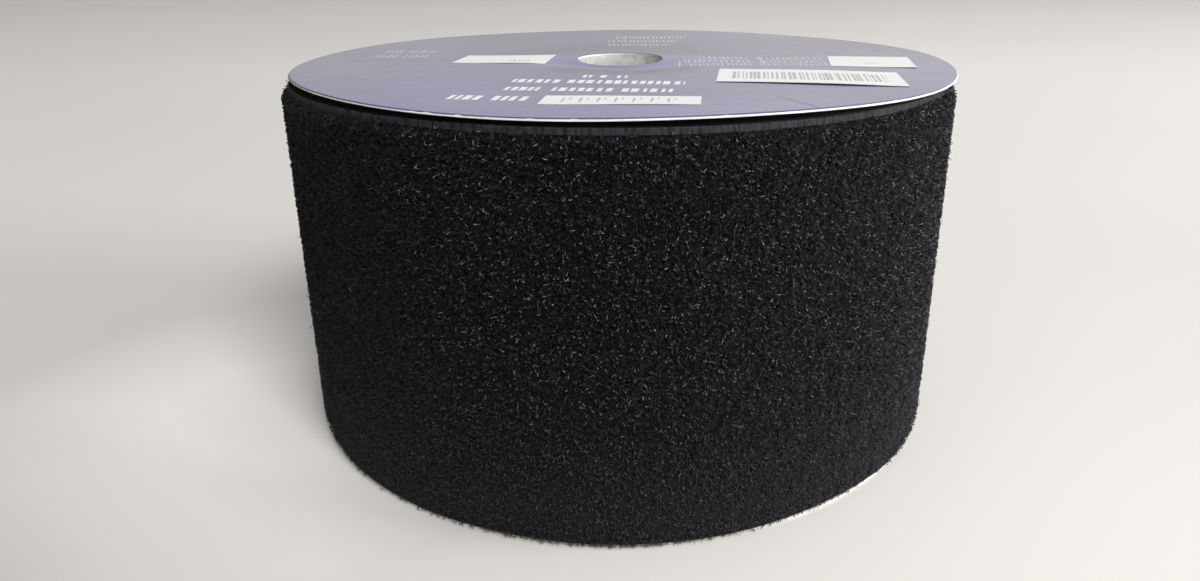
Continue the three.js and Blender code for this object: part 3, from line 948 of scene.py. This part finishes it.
def upper_glue():
    """The ring of glue under the upper disc, which follows the pressed front of the hole."""
    low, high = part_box("upper_glue_ring")
    inner, outer, top = BORE + 0.6 * MM, high.x - core_axis.x, high.z - 0.02 * MM

    def warp(radius, height, angle):
        bulge = 0.15 * MM * np.sin(7 * angle) * (radius > outer - 0.1 * MM)
        return radius + bulge, height + wave(radius, angle)

    outline = [(inner, low.z), (outer, low.z), (outer, top), (inner, top)]
    return round_piece("upper_glue_bead", outline, GLUE, warp, CORE_STEPS)


dress(upper_glue(), "glue", "upper_glue_ring")


# Labels and print. Each mark is a rectangle on the face of the upper disc.
def on_facing(x, y, lift):
    """Points on the face of the disc, at x and y from its hole, lifted off it."""
    height = facing_height(np.hypot(x, y), np.arctan2(y, x)) + lift
    return np.stack([core_axis.x + x, core_axis.y + y, height], -1).reshape(-1, 3)


def turned_by(x, y, turn, centre):
    c, s = cos(radians(turn)), sin(radians(turn))
    return centre[0] + x * c - y * s, centre[1] + x * s + y * c


def label_piece(name, node, size, turn, marks, curl, shift=(0, 0)):
    """A paper label with generic marks, in millimetres and degrees. Its grid follows the marks."""
    centre = middle(node)
    at = (centre.x - core_axis.x + shift[0] * MM, centre.y - core_axis.y + shift[1] * MM)
    width, height = size[0] * MM, size[1] * MM
    marks = np.array(marks) * MM
    xs = np.unique(np.concatenate([np.linspace(-width / 2, width / 2, 17), *marks.T[::2]]))
    ys = np.unique(np.concatenate([np.linspace(-height / 2, height / 2, 7), *marks.T[1::2]]))
    gx, gy = np.meshgrid(xs, ys, indexing="ij")
    px, py = turned_by(gx, gy, turn, at)
    lift = curl(gx / width * 2, gy / height * 2)
    points = np.concatenate([on_facing(px, py, off + lift) for off in (0.1 * MM, 0.005 * MM)])
    index = np.arange(gx.size).reshape(gx.shape)
    upper = np.stack([index[:-1, :-1], index[1:, :-1], index[1:, 1:], index[:-1, 1:]], -1).reshape(-1, 4)
    lower = upper[:, ::-1] + gx.size
    ring = np.concatenate([index[:-1, 0], index[-1, :-1], index[:0:-1, -1], index[0, :0:-1]])
    following = np.roll(ring, -1)
    sides = np.stack([ring + gx.size, following + gx.size, following, ring], -1)
    mx, my = np.meshgrid((xs[:-1] + xs[1:]) / 2, (ys[:-1] + ys[1:]) / 2, indexing="ij")
    inked = np.zeros(mx.shape, bool)
    for x0, y0, x1, y1 in marks:
        inked |= (mx > x0) & (mx < x1) & (my > y0) & (my < y1)
    which = np.concatenate([inked.ravel(), np.zeros(len(lower) + len(sides))])
    piece = mesh_piece(name, points, [upper, lower, sides], [LABEL, GREY_INK], smooth=False, which=which)
    dress(piece, "label_paper", node)


def bars(height, x0, x1, least, most):
    """Upright bars of random width, with gaps of random width. They stand for no code."""
    made, x = [], x0
    while x < x1:
        wide = rng.uniform(least, most)
        made.append((x, -height / 2, min(x + wide, x1), height / 2))
        x += wide + rng.uniform(least, most)
    return made


def flat_curl(x, y):
    return 0.03 * MM * (1 + np.cos(3 * x + y))


def stock_curl(x, y):
    ends = 0.08 * np.abs(x) ** 6 * (x > 0) + 0.04 * np.abs(x) ** 5 * (x < 0)
    return (ends + 0.03 * (1 + np.sin(4.2 * x)) + 0.22 * (1 - x * x)) * MM


def corner_curl(x, y):
    return (0.1 * np.clip(x - y - 0.9, 0, 2) ** 2 + 0.02) * MM


marks = [(x, -5.8, x + 0.5, -2.6) for x in (2.4, 3.6, 5.2, 6.6, 7.8)]
label_piece("width_label_paper", "width_label", (27.4, 17), -9, marks, flat_curl, shift=(1.6, -1.5))
marks = []
for x in (-13.2, -9.2, -5.2, -1.3, 2.7, 6.7, 10.4):
    marks.append((x, -2.6, x + 0.5, 2.6))
    marks.append((x + 1.5, -2.6 if x % 2 > 1 else 0.4, x + 1.9, 2.6))
label_piece("batch_label_paper", "batch_label", (35.5, 11), -7, marks, flat_curl)
marks = bars(12.5, -19.5, 19.5, 0.2, 0.9)
label_piece("stock_label_paper", "stock_label", (46.5, 23), -9.2, marks, stock_curl, shift=(0, 0.5))
marks = [(-2, -3.4, 2.2, -2.6)]
label_piece("shade_label_paper", "shade_label", (23, 21), -10.5, marks, corner_curl)


# Rows of plain white bars, where the disc has lines of print. In millimetres from the hole: x and y of the
# row's middle left, its turn in degrees, the height of its bars and the lengths of its runs of bars.
PRINT_ROWS = [
    (-10.5, -33.8, -8, 4.4, (2.4, 2.2, 2.6)),
    (-28.2, -40.6, -8.7, 5.4, (12, 29.4)),
    (-29, -53.2, -8.7, 5, (9.4, 14.6, 12)),
    (-40.8, -65, -9.6, 5.6, (8.2, 8.4)),
    (-74.6, 25.5, -5, 6, (5.6, 8.6)),
    (-75, 13.6, -5, 6, (6.6, 7.4)),
    (18.7, 1.6, -3, 5, (19.4, 19.6)),
    (18.4, -5.4, -3, 4.4, (19.6, 18.6)),
    (19.4, -12.4, -2, 4.4, (17.4, 19)),
    (0, 64, -3, 8, (25,)),
    (-3, 52, -3, 6, (24,)),
    (-3, 40, -3, 6, (20,)),
]
# Long thin lines between the runs: the ends of each line, and its width.
PRINT_LINES = [((16, -14.5), (18.2, 7), 0.5), ((40, -16), (41.6, 5.4), 0.5)]
PRINT_LIFT = 0.012 * MM
WORD_GAP = 2.2
# Rows behind this y have thinner and darker bars.
THIN_PAST = -20


def print_piece():
    """Each run is a row of plain upright bars, which stand for no letters."""
    points, faces, inks = [], [], []
    box = np.array([[0, 2, 3, 1], [4, 5, 7, 6], [0, 4, 6, 2], [2, 6, 7, 3], [3, 7, 5, 1], [1, 5, 4, 0]])

    def add(px, py, thin):
        faces.append(box + 8 * len(faces))
        inks.extend([thin] * len(box))
        points.extend(on_facing(px * MM, py * MM, lift) for lift in (PRINT_LIFT, 0))

    for x, y, turn, tall, lengths in PRINT_ROWS:
        bar, thin = 0.0, y > THIN_PAST
        for length in lengths:
            end = bar + length
            while bar < end:
                wide = rng.uniform(0.4, 0.8) if thin else rng.uniform(0.8, 1.8)
                gx, gy = np.meshgrid((bar, min(bar + wide, end)), (-0.5 * tall, 0.5 * tall), indexing="ij")
                add(*turned_by(gx, gy, turn, (x, y)), thin)
                bar += wide + rng.choice([0.6, 0.8, 1.1])
            bar = end + WORD_GAP
    for (x0, y0), (x1, y1), wide in PRINT_LINES:
        add(np.array([[x0, x1], [x0 + wide, x1 + wide]]), np.array([[y0, y1], [y0, y1]]), True)
    points, materials = np.concatenate(points), [WHITE_INK, THIN_INK]
    return mesh_piece("disc_print_bars", points, faces, materials, smooth=False, which=inks)


dress(print_piece(), "printed_facing")


# The clear strip over the end of the tape, and the pieces inside the roll
TAB_WIDTH = 25 * MM
TAB_ON_END = 22 * MM
TAB_PAST_END = 26 * MM
TAB_THICK = 0.06 * MM


def end_strip():
    """The strip lies on the loops of the end, steps down past it and lies on the turn below."""
    arc = np.linspace(TAB_ON_END, -TAB_PAST_END, 97)
    back = np.where(arc >= 0, back_at(np.maximum(arc, 0)), 1 + arc / (TURN * (END_RADIUS + GROUND)))
    # Past the end, "back" counts along the turn below, which is one pitch further in.
    rise = np.where(arc >= 0, 0.0, PITCH * (1 - ease(-arc, 0.1 * MM, 3.6 * MM)))
    heights = np.linspace(0.5, -0.5, 13) * TAB_WIDTH + (TAPE_BOTTOM + TAPE_TOP) / 2
    grid_arc, grid_height = np.meshgrid(arc, heights, indexing="ij")
    ripple = value_noise(grid_arc / (3 * MM) + 50, grid_height / (5 * MM), 51) * 0.12 * MM
    out = GROUND + FREE_PILE + 0.12 * MM + ripple + rise[:, None]
    inner, outer = (np.stack([side, grid_height], -1) for side in (out - TAB_THICK, out))
    sections = np.concatenate([inner[:, ::-1], outer], 1)
    points, faces = tube(on_tape(back[:, None], sections[..., 0], sections[..., 1]))
    return mesh_piece("end_strip_film", points, faces, [FILM])


dress(end_strip(), "clear_film", "end_tab", body="loose_end")

for name, used in (("lower_glue_ring", GLUE), ("start_strip", CREPE)):
    for slot in frame["nodes"][name].material_slots:
        slot.material = used


# The floor, the light and the camera. The ramp is the room that glossy surfaces see, from the floor up.
WORLD_LEFT = 0.02
WORLD_RIGHT = 1.0
ROOM = [
    (0.0, (0.54, 0.53, 0.38)),
    (0.2, (0.57, 0.563, 0.40)),
    (0.38, (0.65, 0.627, 0.48)),
    (0.5, (0.73, 0.695, 0.69)),
    (0.78, (0.97, 0.93, 1.0)),
]
FLOOR_RADIUS = 6.0
FLOOR_SIDES = 96
# A pool of light is painted on the floor at the left of the roll, and painted shade in the corner in front
# of it.
LIT_PLACE = (-110 * MM, -22 * MM, 0.0)
DIM_PLACE = (-170 * MM, -120 * MM, 0.0)


def floor():
    """A pale floor with painted light: its colour is lighter on the right, on the side of the window,
    further back, just in front of the roll and in a pool at its left.
    """
    look = Look("pale_floor")
    x, y, _ = look.parts(look.place)
    depth = look.maths("MAXIMUM", look.maths("SUBTRACT", y, CAMERA_PLACE.y), 160 * MM)
    tone = look.times(look.noise(1.6, 2.0), 0.2)
    # Painted light and painted shade in the floor's tone: the gradients, the pool and the darker corner.
    for part in (
        look.span(look.maths("DIVIDE", x, depth), -0.6, 0.6, 0.26, 0.44),
        look.span(y, 0.1, 0.8, 0.0, 0.30),
        look.span(y, 0.0, -0.08, 0.0, 0.06),
        look.span(look.away(LIT_PLACE), 20 * MM, 95 * MM, 0.72, 0.0),
        look.span(look.away(DIM_PLACE), 20 * MM, 100 * MM, -0.42, 0.0),
    ):
        tone = look.maths("ADD", tone, part)
    colour = look.ramp(tone, (0.0, (0.50, 0.485, 0.465)), (1.0, (0.95, 0.920, 0.890)))
    made = look.complete(colour, 0.9, Specular_IOR_Level=0.1)
    angles = np.arange(FLOOR_SIDES) * TURN / FLOOR_SIDES
    ring = round_at(0, 0, FLOOR_RADIUS, angles, np.full(FLOOR_SIDES, -0.02 * MM))
    piece = mesh_piece("floor", ring, [np.arange(FLOOR_SIDES)[None]], [made], smooth=False)


floor()


def studio():
    """Soft light all round, which is stronger on the right. Glossy surfaces see a room with a pale wall."""
    world = bpy.data.worlds.new("studio")
    scene.world = world
    world.use_nodes = True
    nodes = Nodes(world.node_tree)
    right, ahead, up = nodes.parts(nodes.add("TexCoord").outputs["Generated"])
    even = nodes.span(right, -1.0, 1.0, WORLD_LEFT, WORLD_RIGHT)
    room = nodes.ramp(nodes.span(up, 0.08, 0.20, 0.0, 1.0), *ROOM)
    window = nodes.span(right, 0.0, 0.2, 1.0, 1.24)
    left = nodes.span(right, -0.12, -0.22, 0.0, 1.0)
    floor_edge = nodes.span(up, 0.117, 0.123, 0.22, -0.1)
    side = nodes.maths("ADD", nodes.times(left, floor_edge), window)
    dim_left = nodes.span(right, -0.6, -0.3, 0.1, 1.0)
    side = nodes.times(side, dim_left, nodes.span(ahead, -0.2, 0.3, 0.5, 1.0))
    glossy = nodes.add("LightPath").outputs["Is Glossy Ray"]
    # A mixing node takes colours at inputs 6 and 7, and numbers at inputs 2 and 3.
    colour = nodes.add("Mix", glossy, *[None] * 5, (1, 1, 1, 1), room, data_type="RGBA").outputs[2]
    strength = nodes.add("Mix", glossy, None, even, side, data_type="FLOAT").outputs[0]
    background = world.node_tree.nodes["Background"]
    nodes.put(colour, background.inputs[0])
    nodes.put(strength, background.inputs[1])


studio()

LAMP_AIM = Vector((0.0, 0.0, 0.05))
DAYLIGHT = (1.0, 0.985, 0.96)

for name, place, size, power in (
    ("front_key", (0.6, -1.35, 1.5), 0.8, 29.0),
    ("side_window", (2.5, -0.45, 0.55), 1.1, 54.0),
):
    data = bpy.data.lights.new(name, "AREA")
    data.shape = "SQUARE"
    data.size = size
    data.energy = power
    data.color = DAYLIGHT
    lamp = placed(name, data)
    lamp.location = place
    lamp.rotation_euler = (LAMP_AIM - Vector(place)).to_track_quat("-Z", "Y").to_euler()

camera_data = bpy.data.cameras.new("photo_camera")
camera_data.sensor_width = SENSOR
camera_data.lens = FOCAL_PIXELS / PHOTO_WIDTH * SENSOR
camera_data.clip_start = 0.01
camera_data.clip_end = 50
camera = placed("photo_camera", camera_data)
tilt = Matrix.Rotation(pi / 2 - CAMERA_PITCH, 4, "X")
camera.matrix_world = Matrix.Translation(CAMERA_PLACE) @ tilt @ Matrix.Rotation(CAMERA_ROLL, 4, "Z")
scene.camera = camera
scene.view_settings.view_transform = "Standard"
